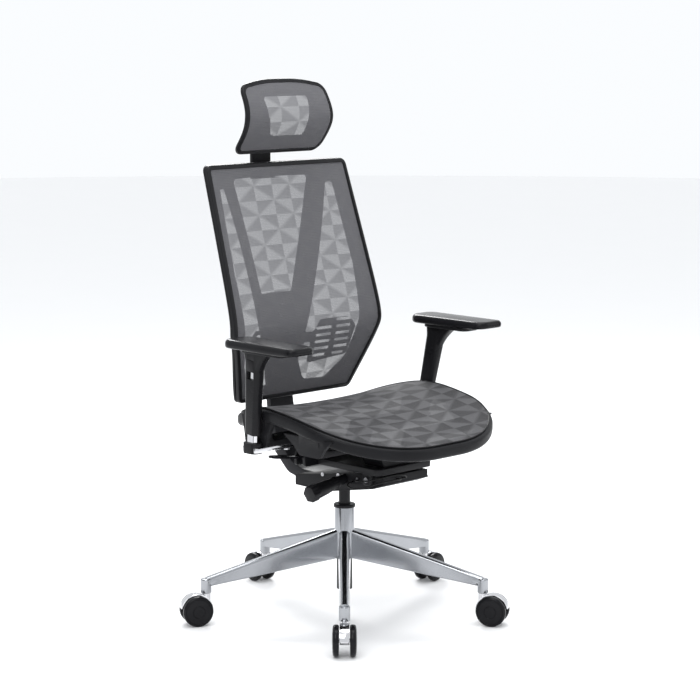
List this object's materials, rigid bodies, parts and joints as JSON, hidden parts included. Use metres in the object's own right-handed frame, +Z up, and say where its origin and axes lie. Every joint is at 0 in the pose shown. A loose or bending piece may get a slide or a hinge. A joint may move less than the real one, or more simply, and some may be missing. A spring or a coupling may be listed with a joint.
{
  "type": "ergonomic mesh task chair",
  "caption": "Swivel task chair with mesh seat, mesh back, headrest, adjustable arms, gas lift, reclining mechanism and a star base on twin-wheel casters.",
  "frame": {"origin": "on the floor under the axis of the gas lift", "axes": "+Z up; the sitter faces -Y; the sitter's left is +X"},
  "size_m": [0.7238, 0.7199, 1.19],
  "materials": {
    "polished_aluminium": "polished die casting",
    "chrome": "bright plated",
    "chrome_bar": "satin black coat on steel",
    "steel": "plain",
    "black_steel": "satin black coat",
    "dark_housing": "fine texture, satin",
    "grey_housing": "satin grey coat",
    "frame_plastic": "fine grain, satin",
    "black_plastic": "satin",
    "sleeve_plastic": "satin, smooth",
    "gloss_black": "gloss",
    "wheel_plastic": "semi-gloss",
    "pad_polyurethane": "soft skin, semi-gloss",
    "mesh_fabric": "knitted elastic mesh with a triangle pattern",
    "cable_sheath": "matt"
  },
  "bodies": {
    "base": {"base_star": "polished_aluminium", "lift_column": "black_steel", "lift_collar": "black_plastic", "caster_stems": "steel"},
    "caster_1": {"caster_fork_1": "chrome", "caster_axle_1": "steel"},
    "wheel_a_1": {"caster_wheel_a_1": "wheel_plastic"},
    "wheel_b_1": {"caster_wheel_b_1": "wheel_plastic"},
    "caster_2": {"caster_fork_2": "chrome", "caster_axle_2": "steel"},
    "wheel_a_2": {"caster_wheel_a_2": "wheel_plastic"},
    "wheel_b_2": {"caster_wheel_b_2": "wheel_plastic"},
    "caster_3": {"caster_fork_3": "chrome", "caster_axle_3": "steel"},
    "wheel_a_3": {"caster_wheel_a_3": "wheel_plastic"},
    "wheel_b_3": {"caster_wheel_b_3": "wheel_plastic"},
    "caster_4": {"caster_fork_4": "chrome", "caster_axle_4": "steel"},
    "wheel_a_4": {"caster_wheel_a_4": "wheel_plastic"},
    "wheel_b_4": {"caster_wheel_b_4": "wheel_plastic"},
    "caster_5": {"caster_fork_5": "chrome", "caster_axle_5": "steel"},
    "wheel_a_5": {"caster_wheel_a_5": "wheel_plastic"},
    "wheel_b_5": {"caster_wheel_b_5": "wheel_plastic"},
    "lift": {"lift_rod": "black_steel"},
    "mechanism": {"mechanism_housing": "dark_housing", "mechanism_cover": "grey_housing", "pivot_pins": "steel", "tilt_spring": "steel", "control_handle": "black_plastic", "control_cables": "cable_sheath"},
    "knob": {"tension_knob": "black_plastic"},
    "back": {"back_bracket": "chrome_bar", "back_frame": "frame_plastic", "back_rim": "black_plastic", "back_mesh": "mesh_fabric", "headrest_post": "black_plastic"},
    "seat_support": {"seat_plate": "black_steel", "paddle_box": "black_plastic"},
    "paddle": {"lift_paddle": "gloss_black"},
    "seat": {"seat_frame": "frame_plastic", "seat_mesh": "mesh_fabric", "arm_bolts": "steel", "arm_feet": "black_plastic", "arm_bracket_right": "chrome", "arm_bracket_left": "chrome"},
    "arm_right": {"arm_sleeve_right": "sleeve_plastic", "arm_pad_plate_right": "black_plastic"},
    "button_right": {"arm_button_right": "gloss_black"},
    "pad_right": {"arm_pad_right": "pad_polyurethane"},
    "arm_left": {"arm_sleeve_left": "sleeve_plastic", "arm_pad_plate_left": "black_plastic"},
    "button_left": {"arm_button_left": "gloss_black"},
    "pad_left": {"arm_pad_left": "pad_polyurethane"},
    "lumbar": {"lumbar_wings": "black_plastic", "lumbar_bridge": "black_plastic"},
    "head_slide": {"headrest_slider": "black_plastic", "headrest_pin": "steel"},
    "headrest": {"headrest_frame": "frame_plastic", "headrest_mesh": "mesh_fabric"}
  },
  "joints": [
    {"name": "caster_swivel_1", "type": "hinge", "parent": "base", "child": "caster_1", "pos_m": [-0.22258, -0.2313, 0.072], "axis": [0, 0, 1], "continuous": true},
    {"name": "wheel_spin_a_1", "type": "hinge", "parent": "caster_1", "child": "wheel_a_1", "pos_m": [-0.23818, -0.24751, 0.034], "axis": [0.7206, -0.6934, 0], "continuous": true},
    {"name": "wheel_spin_b_1", "type": "hinge", "parent": "caster_1", "child": "wheel_b_1", "pos_m": [-0.23818, -0.24751, 0.034], "axis": [0.7206, -0.6934, 0], "continuous": true},
    {"name": "caster_swivel_2", "type": "hinge", "parent": "base", "child": "caster_2", "pos_m": [0.15119, -0.28316, 0.072], "axis": [0, 0, 1], "continuous": true},
    {"name": "wheel_spin_a_2", "type": "hinge", "parent": "caster_2", "child": "wheel_a_2", "pos_m": [0.16179, -0.30301, 0.034], "axis": [0.8821, 0.471, 0], "continuous": true},
    {"name": "wheel_spin_b_2", "type": "hinge", "parent": "caster_2", "child": "wheel_b_2", "pos_m": [0.16179, -0.30301, 0.034], "axis": [0.8821, 0.471, 0], "continuous": true},
    {"name": "caster_swivel_3", "type": "hinge", "parent": "base", "child": "caster_3", "pos_m": [0.31603, 0.05629, 0.072], "axis": [0, 0, 1], "continuous": true},
    {"name": "wheel_spin_a_3", "type": "hinge", "parent": "caster_3", "child": "wheel_a_3", "pos_m": [0.33818, 0.06024, 0.034], "axis": [-0.1754, 0.9845, 0], "continuous": true},
    {"name": "wheel_spin_b_3", "type": "hinge", "parent": "caster_3", "child": "wheel_b_3", "pos_m": [0.33818, 0.06024, 0.034], "axis": [-0.1754, 0.9845, 0], "continuous": true},
    {"name": "caster_swivel_4", "type": "hinge", "parent": "base", "child": "caster_4", "pos_m": [0.04412, 0.31795, 0.072], "axis": [0, 0, 1], "continuous": true},
    {"name": "wheel_spin_a_4", "type": "hinge", "parent": "caster_4", "child": "wheel_a_4", "pos_m": [0.04721, 0.34024, 0.034], "axis": [-0.9905, 0.1374, 0], "continuous": true},
    {"name": "wheel_spin_b_4", "type": "hinge", "parent": "caster_4", "child": "wheel_b_4", "pos_m": [0.04721, 0.34024, 0.034], "axis": [-0.9905, 0.1374, 0], "continuous": true},
    {"name": "caster_swivel_5", "type": "hinge", "parent": "base", "child": "caster_5", "pos_m": [-0.28876, 0.14021, 0.072], "axis": [0, 0, 1], "continuous": true},
    {"name": "wheel_spin_a_5", "type": "hinge", "parent": "caster_5", "child": "wheel_a_5", "pos_m": [-0.309, 0.15004, 0.034], "axis": [-0.4368, -0.8996, 0], "continuous": true},
    {"name": "wheel_spin_b_5", "type": "hinge", "parent": "caster_5", "child": "wheel_b_5", "pos_m": [-0.309, 0.15004, 0.034], "axis": [-0.4368, -0.8996, 0], "continuous": true},
    {"name": "seat_height", "type": "slide", "parent": "base", "child": "lift", "axis": [0, 0, 1], "range_m": [-0.025, 0.07]},
    {"name": "seat_swivel", "type": "hinge", "parent": "lift", "child": "mechanism", "pos_m": [0, 0, 0.3], "axis": [0, 0, 1], "continuous": true},
    {"name": "tension_knob_turn", "type": "hinge", "parent": "mechanism", "child": "knob", "pos_m": [-0.07, -0.074, 0.329], "axis": [-0.9816, 0, -0.1908], "continuous": true},
    {"name": "back_recline", "type": "hinge", "parent": "mechanism", "child": "back", "pos_m": [0, 0.066, 0.305], "axis": [-1, 0, 0], "range_deg": [0, 22], "stiffness_Nm_per_rad": 70, "springref_deg": -20.05},
    {"name": "seat_tilt", "type": "hinge", "parent": "mechanism", "child": "seat_support", "pos_m": [0, -0.15, 0.338], "axis": [-1, 0, 0], "range_deg": [0, 7]},
    {"name": "seat_slide", "type": "slide", "parent": "seat_support", "child": "seat", "axis": [0, -1, 0], "range_m": [0, 0.05]},
    {"name": "lift_lever", "type": "hinge", "parent": "seat_support", "child": "paddle", "pos_m": [-0.114, 0.012, 0.372], "axis": [0, 1, 0], "range_deg": [0, 6], "stiffness_Nm_per_rad": 1.2, "springref_deg": -6.88},
    {"name": "arm_height_right", "type": "slide", "parent": "seat", "child": "arm_right", "axis": [-0.0862, -0.1473, 0.9853], "range_m": [-0.009, 0.06]},
    {"name": "arm_button_press_right", "type": "slide", "parent": "arm_right", "child": "button_right", "axis": [0.9962, 0, 0.0872], "range_m": [0, 0.0025], "stiffness_N_per_m": 600, "springref_m": -0.001},
    {"name": "arm_pad_slide_right", "type": "slide", "parent": "arm_right", "child": "pad_right", "axis": [0, -1, 0], "range_m": [-0.02, 0.03]},
    {"name": "arm_height_left", "type": "slide", "parent": "seat", "child": "arm_left", "axis": [0.0862, -0.1473, 0.9853], "range_m": [-0.009, 0.06]},
    {"name": "arm_button_press_left", "type": "slide", "parent": "arm_left", "child": "button_left", "axis": [-0.9962, 0, 0.0872], "range_m": [0, 0.0025], "stiffness_N_per_m": 600, "springref_m": -0.001},
    {"name": "arm_pad_slide_left", "type": "slide", "parent": "arm_left", "child": "pad_left", "axis": [0, -1, 0], "range_m": [-0.02, 0.03]},
    {"name": "lumbar_height", "type": "slide", "parent": "back", "child": "lumbar", "axis": [0, 0, 1], "range_m": [-0.012, 0.016]},
    {"name": "headrest_height", "type": "slide", "parent": "back", "child": "head_slide", "axis": [0, 0, 1], "range_m": [-0.012, 0.03]},
    {"name": "headrest_tilt", "type": "hinge", "parent": "head_slide", "child": "headrest", "pos_m": [0, 0.234, 1.046], "axis": [-1, 0, 0], "range_deg": [-20, 20]}
  ],
  "couplings": [
    {"joint": "seat_tilt", "follows": "back_recline", "ratio": 0.318}
  ]
}
